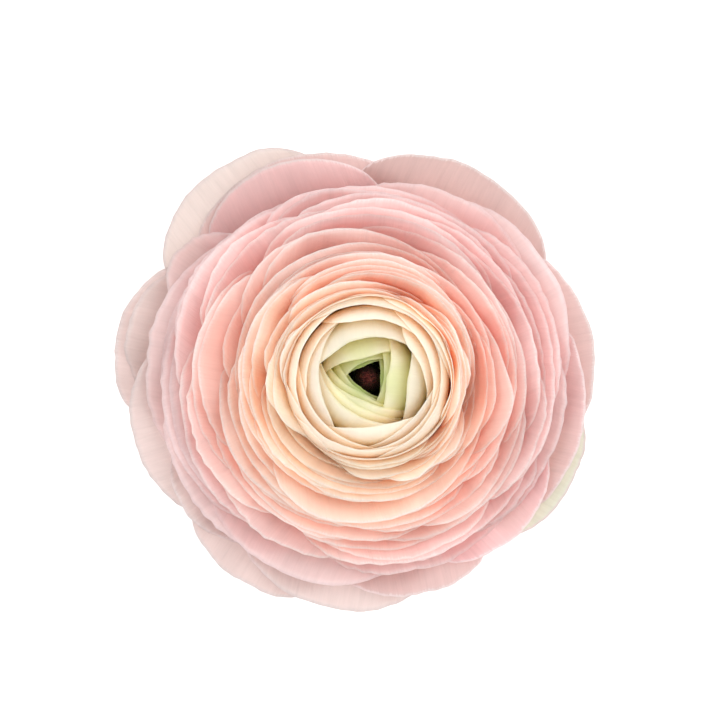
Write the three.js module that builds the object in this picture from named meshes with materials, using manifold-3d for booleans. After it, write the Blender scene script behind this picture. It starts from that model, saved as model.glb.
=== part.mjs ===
// A fully double ranunculus bloom (Persian buttercup), cut just under the calyx and lying face up.
// Millimetres, +Z up. The origin is the middle of the stem's cut end, and the bloom's axis is +Z.
// Azimuths are degrees round that axis, from +X towards +Y.
//
// Every petal lies on one of a family of nested shells of revolution, like the skins of an onion that
// open outwards. A shell is named by its reach: about how far from the axis its widest part lies.
// Shells never cross, so petals on different shells don't either.
import * as THREE from "three";
import { mergeVertices } from "three/addons/utils/BufferGeometryUtils.js";
import Module from "manifold-3d";

const wasm = await Module();
wasm.setup();

// Driving dimensions
const BLADE = 0.6; // thickness of a petal or sepal
const GAP = 0.35; // clearance between neighbouring pieces
const RECEPTACLE_TOP = { radius: 4.8, height: 15.5 }; // the seat of the innermost petals
const RECEPTACLE_FOOT = { radius: 7.6, height: 5.0 }; // the seat of the outermost petals
const STEM_RADIUS = 3.9;
const SECTORS = 24; // facets round the axis

// Shells: reach, radius of the rim, height of the rim, and the rim's tilt up from the horizontal in degrees.
const SHELLS = [
  [5.5, 2.6, 35.6, 125],
  [8.0, 3.4, 37.8, 136],
  [10.0, 4.0, 39.2, 145],
  [12.0, 6.6, 40.2, 146],
  [13.2, 8.6, 40.8, 140],
  [15.0, 13.6, 41.8, 108],
  [17.0, 17.0, 41.8, 92],
  [22.0, 22.2, 40.6, 82],
  [28.0, 28.3, 37.8, 70],
  [34.0, 34.2, 33.6, 58],
  [40.0, 40.2, 28.0, 44],
  [45.0, 45.2, 22.4, 28],
  [54.0, 54.0, 13.0, 2],
];

// Whorls: the shells that each holds, its share of the receptacle from the top down, how far up the shells its
// petals are grown together, how far a petal's margin falls towards its sides, and the colour.
const WHORLS = {
  heart: { shells: [5.5, 14.8], seat: [0, 0.24], joined: 0.34, fall: 0.3, colour: 0xe6e8b0 },
  inner: { shells: [15.6, 34.4], seat: [0.3, 0.6], joined: 0.42, fall: 0.4, colour: 0xf4cdb0 },
  outer: { shells: [35.2, 44.6], seat: [0.66, 0.8], joined: 0.4, fall: 0.42, colour: 0xf0b4b4 },
  guard: { shells: [45.4, 54], seat: [0.86, 1], joined: 0.34, fall: 0.4, colour: 0xe6d2cc },
};

// Petals from the heart out: azimuth, half span, reach, and how far beyond its reach its shell lies.
const PETALS = {
  heart: [
    [50, 60, 5.9, 0],
    [170, 60, 6.4, 0],
    [292, 60, 6.9, 0],
    [110, 68, 8.1, 0],
    [235, 68, 9.0, 0],
    [355, 68, 9.9, 0],
    [232, 60, 11.6, 0],
    [100, 60, 12.3, 0],
    [345, 56, 13.0, 0],
    [140, 52, 13.7, 0],
    [270, 60, 14.5, 0],
    [30, 60, 14.5, 0],
  ],
  inner: spiral({ count: 26, first: 238, halfSpan: 48, from: 15.9, to: 34.1 }),
  outer: [
    [15, 46, 35.4, 0],
    [105, 46, 35.8, 0],
    [195, 46, 35.5, 0],
    [285, 46, 35.9, 0],
    [335, 44, 37.2, 0.4],
    [60, 46, 37.6, 0.4],
    [150, 46, 37.4, 0.4],
    [240, 46, 38.0, 0.3],
    [18, 42, 39.2, 0.8],
    [105, 50, 39.6, 0.7],
    [190, 46, 39.8, 0.5],
    [290, 46, 39.4, 1],
    [342, 46, 39.9, 2.3],
    [62, 44, 40.7, 1.4],
    [140, 44, 40.9, 1.4],
    [220, 42, 41.6, 0.8],
    [38, 48, 42.4, 1.6],
    [250, 44, 42.6, 1.4],
    [180, 44, 44.2, 0.2],
    [305, 42, 40.8, 2.9],
  ],
  guard: [
    [350, 46, 43.8, 2],
    [122, 40, 46.5, 0],
    [60, 46, 46.8, 0.6],
    [262, 44, 46.6, 0.6],
    [8, 46, 45.2, 3.6],
    [198, 42, 48.0, 0.6],
    [308, 40, 43.2, 5.6],
    [106, 44, 47.2, 2],
    [238, 38, 47.7, 2.6],
    [334, 32, 46.1, 4.4],
    [163, 32, 49.3, 1],
    [130, 36, 51.8, 0.4],
    [174, 36, 51.2, 2],
  ],
};

// Petals that follow each other by the golden angle, each a little further out than the last.
function spiral({ count, first, halfSpan, from, to }) {
  const goldenAngle = 137.5;
  return Array.from({ length: count }, (_, i) => [
    first + goldenAngle * i,
    halfSpan,
    from + ((to - from) * i) / (count - 1),
    0,
  ]);
}

// The grid of a petal. Its columns stand on the same sectors of the circle as every other petal's, so that
// facets lie alike and nested petals stay clear of each other. Its rows run from the root to the margin.
const ROWS = [0, 0.36, 0.7, 1];
const MARGIN_POWER = 3; // how square the margin's shoulders are
const ROOT_DEPTH = 0.1; // how far a petal's root is sunk into the grown-together part

const radians = THREE.MathUtils.degToRad;
const lerp = THREE.MathUtils.lerp;
const clamp = THREE.MathUtils.clamp;
const ease = THREE.MathUtils.smoothstep;

// The value at x of a line drawn through [x, y] points.
function along(points, x) {
  const after = points.findIndex((p) => p[0] > x);
  if (after === -1) return points.at(-1)[1];
  if (after === 0) return points[0][1];
  const [[x0, y0], [x1, y1]] = [points[after - 1], points[after]];
  return lerp(y0, y1, (x - x0) / (x1 - x0));
}

const SEATS = Object.values(WHORLS).flatMap(({ shells, seat }) => [
  [shells[0], seat[0]],
  [shells[1], seat[1]],
]);

// The control points of a shell's profile, a cubic curve in radius and height from its seat to its rim.
function profileOf(shell) {
  const share = along(SEATS, shell);
  const seat = new THREE.Vector2(
    lerp(RECEPTACLE_TOP.radius, RECEPTACLE_FOOT.radius, share),
    lerp(RECEPTACLE_TOP.height, RECEPTACLE_FOOT.height, share),
  );
  const rim = new THREE.Vector2(
    along(SHELLS.map((s) => [s[0], s[1]]), shell),
    along(SHELLS.map((s) => [s[0], s[2]]), shell),
  );
  const tilt = radians(along(SHELLS.map((s) => [s[0], s[3]]), shell));
  const rise = rim.y - seat.y;
  const span = seat.distanceTo(rim);
  // A closed shell bulges to its reach and curls inwards over the heart.
  const bulge = (8 * shell - seat.x - rim.x) / 6;
  const closedLow = new THREE.Vector2(bulge, seat.y + 0.06 * rise);
  const closedHigh = new THREE.Vector2(bulge, rim.y + 0.06 * rise);
  // An open shell leaves its seat flat and meets its rim along the tilt.
  const flare = 0.3 + 0.16 * (1 - ease(shell, 14, 34));
  const lift = 0.02 + 0.1 * (1 - ease(shell, 20, 50));
  const openLow = new THREE.Vector2(seat.x + flare * span, seat.y + lift * span);
  const openHigh = new THREE.Vector2(
    rim.x - 0.38 * span * Math.cos(tilt),
    rim.y - 0.38 * span * Math.sin(tilt),
  );
  const open = ease(shell, 14, 18);
  return [seat, closedLow.lerp(openLow, open), closedHigh.lerp(openHigh, open), rim];
}

function onShell(shell, height) {
  return new THREE.CubicBezierCurve(...profileOf(shell)).getPoint(height);
}

// The point on a shell's profile, moved to one side by half a blade's thickness.
function faceOfShell(shell, height, side) {
  const curve = new THREE.CubicBezierCurve(...profileOf(shell));
  const point = curve.getPoint(height);
  const tangent = curve.getTangent(height);
  const offset = (side * BLADE) / 2;
  return point.add(new THREE.Vector2(tangent.y, -tangent.x).multiplyScalar(offset));
}

// How high up its shell a petal ends: at the rim, or where an open shell comes to the petal's reach.
function lengthOf(shell, reach) {
  if (shell - reach < 0.05) return 1;
  let low = 0.5;
  let high = 1;
  for (let i = 0; i < 20; i++) {
    const middle = (low + high) / 2;
    if (onShell(shell, middle).x < reach) low = middle;
    else high = middle;
  }
  return low;
}

// A closed solid from two grids of points of the same size, one for each face.
function solidOfFaces(inside, outside, columns, rows) {
  const positions = [...inside, ...outside].flatMap((p) => [p.x, p.y, p.z]);
  const index = [];
  const at = (face, c, r) => face * columns * rows + r * columns + c;
  const quad = (a, b, c, d) => index.push(a, b, c, a, c, d);
  for (let r = 0; r + 1 < rows; r++) {
    for (let c = 0; c + 1 < columns; c++) {
      const [a, b, d, e] = [at(0, c, r), at(0, c + 1, r), at(0, c + 1, r + 1), at(0, c, r + 1)];
      const [f, g, h, i] = [at(1, c, r), at(1, c + 1, r), at(1, c + 1, r + 1), at(1, c, r + 1)];
      index.push(a, d, b, a, e, d);
      index.push(f, g, h, f, h, i);
    }
  }
  for (let c = 0; c + 1 < columns; c++) {
    quad(at(0, c, 0), at(0, c + 1, 0), at(1, c + 1, 0), at(1, c, 0));
    quad(at(0, c + 1, rows - 1), at(0, c, rows - 1), at(1, c, rows - 1), at(1, c + 1, rows - 1));
  }
  for (let r = 0; r + 1 < rows; r++) {
    quad(at(0, 0, r + 1), at(0, 0, r), at(1, 0, r), at(1, 0, r + 1));
    quad(at(0, columns - 1, r), at(0, columns - 1, r + 1), at(1, columns - 1, r + 1), at(1, columns - 1, r));
  }
  const geometry = new THREE.BufferGeometry();
  geometry.setAttribute("position", new THREE.BufferAttribute(new Float32Array(positions), 3));
  geometry.setIndex(index);
  return geometry;
}

function around(azimuth, point) {
  const turn = radians(azimuth);
  return new THREE.Vector3(point.x * Math.cos(turn), point.x * Math.sin(turn), point.y);
}

function petalGeometry(whorl, [azimuth, halfSpan, reach, tuck]) {
  const { shells, joined, fall } = whorl;
  const shell = clamp(reach + tuck, ...shells);
  const length = lengthOf(shell, reach);
  const root = joined - ROOT_DEPTH;
  const sector = 360 / SECTORS;
  const first = Math.round((azimuth - halfSpan) / sector);
  const last = Math.round((azimuth + halfSpan) / sector);
  const columns = Array.from({ length: last - first + 1 }, (_, i) => (first + i) * sector);
  const faces = [-1, 1].map((side) =>
    ROWS.flatMap((row) =>
      columns.map((column) => {
        const across = clamp((column - azimuth) / halfSpan, -1, 1);
        const margin = length * (1 - fall * Math.abs(across) ** MARGIN_POWER);
        return around(column, faceOfShell(shell, lerp(root, margin, row), side));
      }),
    ),
  );
  return solidOfFaces(faces[0], faces[1], columns.length, ROWS.length);
}

// The part of a whorl where its petals are grown together round the receptacle, between its first and last shell.
function coreGeometry({ shells, joined }) {
  const steps = [0, 0.25, 0.5, 0.75, 1].map((s) => s * joined);
  const top = shells.map((s) => onShell(s, joined));
  const ring = [
    ...steps.map((s) => onShell(shells[1], s)),
    top[0].clone().lerp(top[1], 0.5),
    ...steps.map((s) => onShell(shells[0], s)).reverse(),
  ];
  return new THREE.LatheGeometry([...ring, ring[0]], SECTORS).rotateX(Math.PI / 2);
}

// A geometry as a solid for joining and cutting.
const WELD = 1e-3; // points closer than this are one
function solid(geometry) {
  const bare = geometry.clone();
  bare.deleteAttribute("normal");
  bare.deleteAttribute("uv");
  const merged = mergeVertices(bare, WELD);
  return new wasm.Manifold(
    new wasm.Mesh({
      numProp: 3,
      vertProperties: merged.attributes.position.array,
      triVerts: new Uint32Array(merged.index.array),
    }),
  );
}

// The largest body of a solid, as a geometry: sealed hollows are filled and loose scraps dropped.
function largestBody(whole) {
  const body = whole.decompose().reduce((a, b) => (b.volume() > a.volume() ? b : a));
  const mesh = body.getMesh();
  const geometry = new THREE.BufferGeometry();
  geometry.setAttribute("position", new THREE.BufferAttribute(mesh.vertProperties, 3));
  geometry.setIndex(new THREE.BufferAttribute(mesh.triVerts, 1));
  return geometry;
}

// Geometries joined to one body. Welding its points can pinch off another hollow, so it is cleared twice.
function joined(geometries) {
  const whole = geometries.map(solid).reduce((a, b) => a.add(b));
  return largestBody(solid(largestBody(whole)));
}

function finish(colour, roughness) {
  return new THREE.MeshStandardMaterial({ color: colour, roughness, metalness: 0, flatShading: true });
}

function named(name, geometry, material) {
  const mesh = new THREE.Mesh(geometry, material);
  mesh.name = name;
  return mesh;
}

function petals(key) {
  const whorl = WHORLS[key];
  const geometry = joined([coreGeometry(whorl), ...PETALS[key].map((row) => petalGeometry(whorl, row))]);
  return named(`${key}_petals`, geometry, finish(whorl.colour, 0.6));
}

// A solid of revolution about +Z from [radius, height] points, from the axis to the axis or closed on itself.
function turned(points, sides) {
  return new THREE.LatheGeometry(points.map((p) => new THREE.Vector2(...p)), sides).rotateX(Math.PI / 2);
}

// The cut stub of the stem and, grown in one with it, the receptacle that everything is seated on.
const NECK = { radius: 3.1, height: 17.0 }; // above the petals' seats, where stamens and pistils are seated
const SEAT_CLEARANCE = GAP + 0.15;
function stem() {
  const foot = RECEPTACLE_FOOT.radius - SEAT_CLEARANCE;
  const top = RECEPTACLE_TOP.radius - SEAT_CLEARANCE;
  const profile = [
    [0, 0],
    [STEM_RADIUS, 0],
    [STEM_RADIUS, 3.2],
    [foot - 0.6, 4.6],
    [foot, RECEPTACLE_FOOT.height + 0.2],
    [top, RECEPTACLE_TOP.height - 0.4],
    [NECK.radius, RECEPTACLE_TOP.height],
    [NECK.radius, NECK.height - 0.3],
    [NECK.radius - 0.4, NECK.height],
    [0, NECK.height],
  ];
  return named("stem", turned(profile, SECTORS), finish(0x9fb36a, 0.55));
}

// The calyx: five sepals bent down on to the surface, grown together in a collar round the stem.
const SEPAL = { count: 5, halfWidth: 4.6, first: 18 };
const SEPAL_LINE = [
  [4.7, 2.8],
  [8.6, 3.3],
  [12.6, 2.5],
  [15.2, 1.3],
  [16.6, BLADE / 2],
];
const SEPAL_WIDTHS = [0.62, 0.95, 1, 0.66, 0.2]; // along the sepal, as shares of its half width
function sepalGeometry(azimuth) {
  const columns = [-1, -0.4, 0.4, 1];
  const faces = [1, -1].map((side) =>
    SEPAL_LINE.flatMap(([radius, height], row) =>
      columns.map((column) => {
        const across = SEPAL.halfWidth * SEPAL_WIDTHS[row] * column;
        const cupped = 0.35 * column * column * SEPAL_WIDTHS[row];
        const low = Math.max(height - cupped + (side * BLADE) / 2, side < 0 ? 0 : BLADE);
        return new THREE.Vector3(radius, across, low);
      }),
    ),
  );
  return solidOfFaces(faces[0], faces[1], columns.length, SEPAL_LINE.length).rotateZ(radians(azimuth));
}

function sepals() {
  const inside = STEM_RADIUS + GAP;
  const collar = [
    [inside, 1.8],
    [inside + 1.6, 2.3],
    [inside + 1.6, 3.4],
    [inside, 2.9],
    [inside, 1.8],
  ];
  const blades = Array.from({ length: SEPAL.count }, (_, i) =>
    sepalGeometry(SEPAL.first + (360 / SEPAL.count) * i),
  );
  return named("sepals", joined([turned(collar, SECTORS), ...blades]), finish(0x93ab62, 0.6));
}

// The dark head of pistils on the receptacle's neck: a dome raised in close-set carpels.
const PISTILS = { radius: 2.95, foot: NECK.height + GAP, height: 14.5, relief: 0.2, sides: 24, levels: 11 };
function pistils() {
  const { radius, foot, height, relief, sides, levels } = PISTILS;
  const points = [];
  for (let level = 0; level <= levels; level++) {
    const up = level / levels;
    const swell = radius * Math.sqrt(1 - up ** 3.2) * lerp(0.86, 1, ease(up, 0, 0.3));
    for (let side = 0; side < sides; side++) {
      const raised = (side + level) % 2 ? relief : 0;
      const turn = (side / sides) * 2 * Math.PI;
      const out = Math.max(swell - relief / 2 + raised, 0);
      points.push(new THREE.Vector3(out * Math.cos(turn), out * Math.sin(turn), foot + height * up));
    }
  }
  return named("pistils", closedColumn(points, sides, levels), finish(0x3a1418, 0.5));
}

// A closed surface round +Z from rings of points, low to high, with flat ends.
function closedColumn(points, sides, levels) {
  const low = new THREE.Vector3(0, 0, points[0].z);
  const high = new THREE.Vector3(0, 0, points.at(-1).z);
  const ringed = points.slice(0, sides * levels);
  const positions = [...ringed, low, high].flatMap((p) => [p.x, p.y, p.z]);
  const index = [];
  for (let level = 0; level + 1 < levels; level++) {
    for (let side = 0; side < sides; side++) {
      const next = (side + 1) % sides;
      const [a, b] = [level * sides + side, level * sides + next];
      index.push(a, b, b + sides, a, b + sides, a + sides);
    }
  }
  for (let side = 0; side < sides; side++) {
    const next = (side + 1) % sides;
    index.push(ringed.length, next, side);
    index.push(ringed.length + 1, (levels - 1) * sides + side, (levels - 1) * sides + next);
  }
  const geometry = new THREE.BufferGeometry();
  geometry.setAttribute("position", new THREE.BufferAttribute(new Float32Array(positions), 3));
  geometry.setIndex(index);
  return geometry;
}

// The few stamens that stand round the foot of the pistils, grown together in a ring at their own foot.
const STAMEN = { count: 9, filament: 0.7, anther: 1.1, ring: 3.95 };
function stamenGeometry(azimuth, length) {
  const foot = RECEPTACLE_TOP.height + 0.6;
  const filament = new THREE.CylinderGeometry(STAMEN.filament / 2, STAMEN.filament / 2, length, 3)
    .rotateX(Math.PI / 2)
    .translate(STAMEN.ring, 0, foot + length / 2);
  const anther = new THREE.SphereGeometry(STAMEN.anther / 2, 5, 3)
    .scale(0.8, 1, 2.2)
    .translate(STAMEN.ring, 0, foot + length + 0.6);
  return [filament, anther].map((g) => g.rotateZ(radians(azimuth)));
}

function stamens() {
  const foot = RECEPTACLE_TOP.height + 0.35;
  const ring = [
    [NECK.radius + GAP, foot],
    [STAMEN.ring + 0.4, foot],
    [STAMEN.ring + 0.4, foot + 0.9],
    [NECK.radius + GAP, foot + 0.9],
    [NECK.radius + GAP, foot],
  ];
  const blades = Array.from({ length: STAMEN.count }, (_, i) =>
    stamenGeometry((360 / STAMEN.count) * i, 6.6 + 1.1 * Math.sin(2.4 * i)),
  ).flat();
  return named("stamens", joined([turned(ring, SECTORS), ...blades]), finish(0x4a3a22, 0.7));
}

const bloom = new THREE.Group();
bloom.add(stem(), sepals(), pistils(), stamens());
bloom.add(petals("heart"), petals("inner"), petals("outer"), petals("guard"));

export default bloom;
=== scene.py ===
"""The looks of a fully double ranunculus bloom, cut just under the calyx and lying face up.

Shapes are worked out in millimetres round the bloom's axis (+Z) and written to the meshes in metres.
Azimuths are degrees round that axis, from +X towards +Y. Every petal lies on one of a family of nested
shells of revolution, named by their reach: about how far from the axis their widest part lies.
"""

import math

import bpy
import numpy as np
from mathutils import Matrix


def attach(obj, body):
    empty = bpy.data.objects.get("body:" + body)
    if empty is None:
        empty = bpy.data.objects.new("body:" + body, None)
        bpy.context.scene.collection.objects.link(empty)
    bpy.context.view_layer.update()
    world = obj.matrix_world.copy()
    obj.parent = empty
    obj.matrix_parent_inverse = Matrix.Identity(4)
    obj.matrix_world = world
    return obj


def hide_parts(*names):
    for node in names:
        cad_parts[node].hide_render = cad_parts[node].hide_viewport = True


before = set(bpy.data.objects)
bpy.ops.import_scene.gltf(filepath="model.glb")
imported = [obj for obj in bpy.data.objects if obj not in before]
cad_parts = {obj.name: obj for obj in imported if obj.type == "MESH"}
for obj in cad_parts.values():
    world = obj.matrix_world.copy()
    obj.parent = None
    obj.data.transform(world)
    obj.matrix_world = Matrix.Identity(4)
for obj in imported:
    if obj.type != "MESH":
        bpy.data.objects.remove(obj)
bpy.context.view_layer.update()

MM = 0.001

# Sizes that the solids have too
RECEPTACLE_TOP = (4.8, 15.5)  # radius and height of the seat of the innermost petals
RECEPTACLE_FOOT = (7.6, 5.0)  # and of the outermost

# Shells: reach, radius of the rim, height of the rim, and the rim's tilt up from the horizontal in degrees.
LAST_REACH = 54.0
SHELLS = np.array([
    (5.5, 2.1, 35.2, 125),
    (8.0, 2.5, 38.2, 138),
    (10.0, 3.2, 40.2, 148),
    (12.0, 5.4, 41.5, 152),
    (14.2, 9.4, 41.9, 150),
    (15.4, 11.8, 41.4, 145),
    (16.0, 14.8, 40.7, 104),
    (16.8, 16.4, 40.8, 82),
    (18.0, 18.1, 40.7, 66),
    (22.0, 22.2, 39.6, 58),
    (28.0, 28.3, 36.6, 50),
    (34.0, 34.2, 32.6, 44),
    (40.0, 40.2, 27.0, 36),
    (45.0, 45.2, 22.8, 25),
    (LAST_REACH, 54.0, 14.4, 2),
])

# Petals open further on one side of the bloom, and less on the other
LEAN = 9.0  # degrees
LEAN_DOWN = 0.8  # by which rims are lower there
LEAN_TO = 200.0  # azimuth of that side
LEAN_FROM = (15.6, 17.2)  # the reaches between which the lean comes in
LEAN_UNTIL = (42, 50)  # and those between which it goes out

# Painted light: colours lag behind, towards the paler ones nearer the heart, on the side of the bloom painted
# as if more lit, and lead on the other
PAINTED_LIGHT_SHARE = 0.09  # share of the shells
PAINTED_LIT_SIDE = 235.0  # azimuth of the pale side
PAINTED_LIGHT_UNTIL = (33, 41)  # radii of rims between which the difference goes out

# Shells on the receptacle: reach, and the share of the way down it where they are seated.
SEATS = np.array([
    (5.5, 0.0), (15.6, 0.24),
    (16.4, 0.3), (34.4, 0.6),
    (35.2, 0.66), (44.6, 0.8),
    (45.4, 0.86), (LAST_REACH, 1.0),
])

# Petals from the heart out, by their rims as they show from above. A rim is three pairs of an azimuth and a
# radius: where it comes into sight, about half way, and where it goes out of sight. Radii are in fifths of a
# millimetre. The curled petals of the heart have their shell's reach first, in millimetres, and the guard
# petals their tint, from 0 for greenish cream to 1 for pink.
RIM_UNIT = 0.2
HEART = [
    (5.6, 58, 20, 113, 12.5, 168, 20),
    (6.0, 168, 20, 240, 11.5, 300, 21),
    (6.4, 300, 21, 360, 12, 418, 20),
    (7.2, 60, 21, 115, 16, 180, 23),
    (7.7, 170, 23, 232, 14, 292, 22),
    (8.2, 292, 22, 352, 15, 408, 22),
    (8.8, 178, 29, 236, 16, 299, 28),
    (9.4, 50, 34, 104, 20, 168, 39),
    (9.9, 298, 31, 355, 18, 411, 35),
    (10.3, 185, 36, 240, 22, 300, 33),
    (10.7, 172, 42, 228, 28, 292, 40),
    (12.0, 304, 58, 352, 39, 392, 51),
    (11.7, 166, 50, 222, 37, 290, 47),
    (12.4, 36, 52, 95, 40, 154, 44),
    (13.2, 104, 68, 158, 51, 222, 51),
    (13.3, 336, 63, 364, 55, 398, 50),
    (13.5, 223, 66, 270, 48, 313, 55),
    (14.0, 100, 65, 142, 61, 188, 61),
    (14.2, 262, 71, 302, 60, 342, 62),
    (14.4, 26, 66, 66, 60, 108, 58),
    (14.5, 184, 65, 222, 62, 264, 66),
    (14.9, 336, 68, 372, 63, 412, 64),
    (15.3, 256, 72, 304, 68, 352, 70),
    (15.6, 106, 75, 158, 71, 214, 74),
    (15.6, 200, 74, 252, 71, 308, 74),
    (15.7, 290, 74, 342, 72, 394, 74),
    (15.8, 16, 75, 66, 72, 122, 75),
    (352, 83, 394, 78, 438, 75),
    (76, 76, 124, 80, 166, 90),
    (158, 90, 194, 78, 240, 74),
    (228, 74, 272, 78, 320, 81),
    (300, 79, 334, 80, 372, 84),
    (20, 83, 62, 80, 100, 80),
]
INNER = [
    (88, 82, 130, 90, 176, 97),
    (150, 92, 182, 95, 218, 80),
    (205, 80, 240, 84, 280, 87),
    (0, 92, 25, 87, 50, 86),
    (258, 86, 298, 90, 326, 88),
    (322, 95, 342, 92, 374, 90),
    (328, 100, 354, 97, 382, 97),
    (84, 84, 130, 93, 169, 102),
    (42, 84, 72, 92, 113, 103),
    (16, 102, 42, 93, 79, 94),
    (159, 96, 180, 97, 204, 89),
    (284, 99, 318, 100, 352, 92),
    (311, 110, 337, 99, 370, 87),
    (75, 84, 108, 97, 146, 107),
    (186, 98, 222, 95, 258, 92),
    (219, 90, 262, 98, 301, 112),
    (197, 103, 222, 106, 268, 101),
    (16, 107, 60, 109, 96, 103),
    (324, 106, 349, 103, 376, 102),
    (334, 116, 358, 107, 398, 90),
    (211, 110, 245, 114, 286, 117),
    (49, 111, 92, 117, 118, 112),
    (350, 114, 371, 112, 396, 113),
    (340, 121, 362, 120, 386, 117),
    (139, 120, 158, 119, 179, 113),
    (184, 117, 220, 119, 249, 114),
    (250, 118, 292, 123, 316, 121),
    (357, 129, 372, 124, 388, 112),
    (136, 121, 163, 127, 221, 88),
    (67, 119, 100, 125, 138, 121),
    (215, 123, 240, 124, 268, 122),
    (8, 125, 34, 126, 58, 123),
    (179, 129, 200, 128, 229, 118),
    (268, 147, 305, 135, 340, 114),
    (266, 132, 278, 133, 292, 129),
    (198, 130, 232, 135, 268, 126),
    (360, 147, 378, 131, 406, 121),
    (88, 130, 145, 136, 185, 129),
    (314, 132, 332, 138, 358, 129),
    (262, 139, 287, 141, 312, 139),
    (198, 141, 221, 143, 246, 141),
    (29, 112, 65, 136, 97, 156),
    (18, 142, 50, 141, 70, 136),
    (61, 126, 85, 145, 112, 158),
    (94, 136, 122, 145, 152, 148),
    (335, 147, 356, 147, 380, 145),
    (240, 148, 264, 149, 290, 149),
    (18, 149, 50, 152, 86, 150),
    (175, 137, 198, 153, 234, 145),
    (208, 150, 232, 154, 266, 142),
    (283, 154, 298, 156, 313, 154),
    (356, 158, 370, 156, 392, 147),
    (323, 168, 350, 157, 383, 138),
    (222, 157, 242, 162, 282, 155),
    (148, 155, 180, 168, 194, 162),
    (60, 161, 88, 170, 104, 171),
    (278, 160, 300, 171, 332, 162),
    (205, 163, 229, 166, 252, 164),
]
OUTER = [
    (360, 172, 390, 167, 424, 157),
    (143, 157, 186, 176, 208, 168),
    (15, 166, 40, 171, 64, 169),
    (250, 166, 274, 172, 298, 170),
    (44, 171, 66, 177, 86, 178),
    (94, 156, 148, 178, 166, 169),
    (317, 170, 338, 182, 356, 174),
    (338, 176, 362, 177, 386, 175),
    (188, 180, 198, 183, 218, 177),
    (262, 171, 286, 184, 303, 180),
    (52, 182, 74, 183, 96, 183),
    (345, 187, 366, 187, 388, 186),
    (282, 187, 306, 188, 330, 186),
    (203, 161, 236, 188, 258, 181),
    (232, 166, 258, 181, 282, 191),
    (103, 161, 115, 178, 130, 191),
    (186, 184, 216, 193, 236, 187),
    (302, 176, 318, 194, 332, 187),
    (78, 184, 90, 188, 98, 193),
    (2, 191, 18, 195, 34, 193),
    (41, 171, 70, 187, 99, 196),
    (316, 193, 343, 199, 364, 195),
    (110, 172, 162, 199, 184, 187),
    (82, 172, 112, 193, 133, 199),
    (270, 189, 306, 199, 317, 196),
    (38, 194, 58, 203, 84, 193),
    (133, 195, 151, 204, 164, 198),
    (165, 199, 190, 208, 218, 194),
    (364, 195, 398, 212, 422, 201),
    (217, 193, 250, 212, 264, 205),
    (192, 206, 214, 214, 238, 208),
    (154, 211, 180, 223, 198, 211),
    (139, 213, 146, 231, 153, 224),
]
GUARD = [
    (0.90, 290, 197, 308, 216, 330, 208),
    (0.80, 320, 214, 353, 219, 376, 207),
    (0.70, 256, 191, 286, 224, 305, 214),
    (0.35, 233, 213, 258, 233, 285, 222),
    (0.40, 200, 212, 213, 227, 224, 222),
    (0.82, 88, 202, 125, 233, 140, 220),
    (0.60, 346, 219, 377, 226, 396, 213),
    (0.50, 31, 217, 61, 235, 88, 220),
    (0.40, 216, 226, 236, 240, 256, 229),
    (0.65, 75, 201, 116, 236, 137, 231),
    (0.35, 172, 221, 204, 241, 220, 219),
    (0.00, 314, 219, 336, 230, 352, 220),
    (0.30, 156, 236, 171, 247, 184, 229),
    (0.40, 152, 236, 178, 255, 190, 238),
    (0.22, 104, 233, 129, 261, 154, 233),
]

# How each whorl's petals are made: grid, thickness, least distance between nested shells, how wavy the rims
# are, how far they lip outwards, how ragged the margin is, where roots start, what their rows have first, how
# much room one short petal takes, how high those come as shares of a full petal, and by how much petals are
# wider than their rows say.
WHORLS = {
    "heart": dict(
        rows=HEART, grid=(48, 24), blade=0.24, apart=0.28, wave=0.07, lip=0.0, ragged=0.004, root=0.12,
        first="shell", fill=0.6, low=(0.88, 0.96), wider=1.0,
    ),
    "inner": dict(
        rows=INNER, grid=(40, 20), blade=0.22, apart=0.34, wave=0.2, lip=0.5, ragged=0.008, root=0.14,
        first=None, fill=0.6, low=(0.945, 0.985), wider=1.5,
    ),
    "outer": dict(
        rows=OUTER, grid=(46, 26), blade=0.22, apart=0.36, wave=0.3, lip=0.4, ragged=0.008, root=0.12,
        first=None, fill=1.0, low=(0.945, 0.985), wider=1.3,
    ),
    "guard": dict(
        rows=GUARD, grid=(54, 30), blade=0.22, apart=0.38, wave=0.36, lip=0.0, ragged=0.004, root=0.08,
        first="tint", fill=9.0, low=(0.945, 0.985), wider=1.0,
    ),
}
RIM_ROW = 6  # values in a row, without what some have first
GRAIN = 0.01  # units of the grain map for a millimetre
GRAIN_STEP = 0.37  # and from one petal to the next, so that no two have the same veins

# Short petals
SHORT_GRID = (22, 12)
SHORT_NUMBER = 90  # where their numbers start
SHORT_SHIFT = 14  # degrees by which one may lie to either side of the petal that it fills the room for
CLOSED = 15.6  # they are curled over the heart where their shells reach less than this
CURLED_RIM = 0.95  # radius of a curled one's rim, as a share of its shell's reach

BINS = 720  # places round the axis where nested shells are kept apart
SPREAD = 14  # places to either side over which a petal that is moved outwards changes

# The profile of an open shell, as shares of its span
HANDLE = 0.38  # length of the handle at its rim
FLARE = (0.3, 0.16)  # how far the handle at its seat goes outwards, and how much more on inner shells
FLARE_FADE = (14, 34)  # the reaches between which that goes out
LIFT = (0.02, 0.1)  # how far it goes upwards, and how much more on inner shells
LIFT_FADE = (20, 50)

# Closed shells, and where they go over to open ones
OVER = 0.06  # how far the handles of a closed shell pass its ends, as a share of its rise
OPENING = (15.5, 17.4)  # the reaches between which shells open
WIDENING = 20  # reach from which shells are widest at their rims

# The margin of a petal, in shares of the way up its shell
MARGIN_FROM = 0.55  # where it is looked for
MARGIN_STEPS = 91
MARGIN_LOWEST = 0.6
MARGIN_DROP = 0.08  # how much lower it is on an upright shell for each millimetre that the shell was moved

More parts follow.
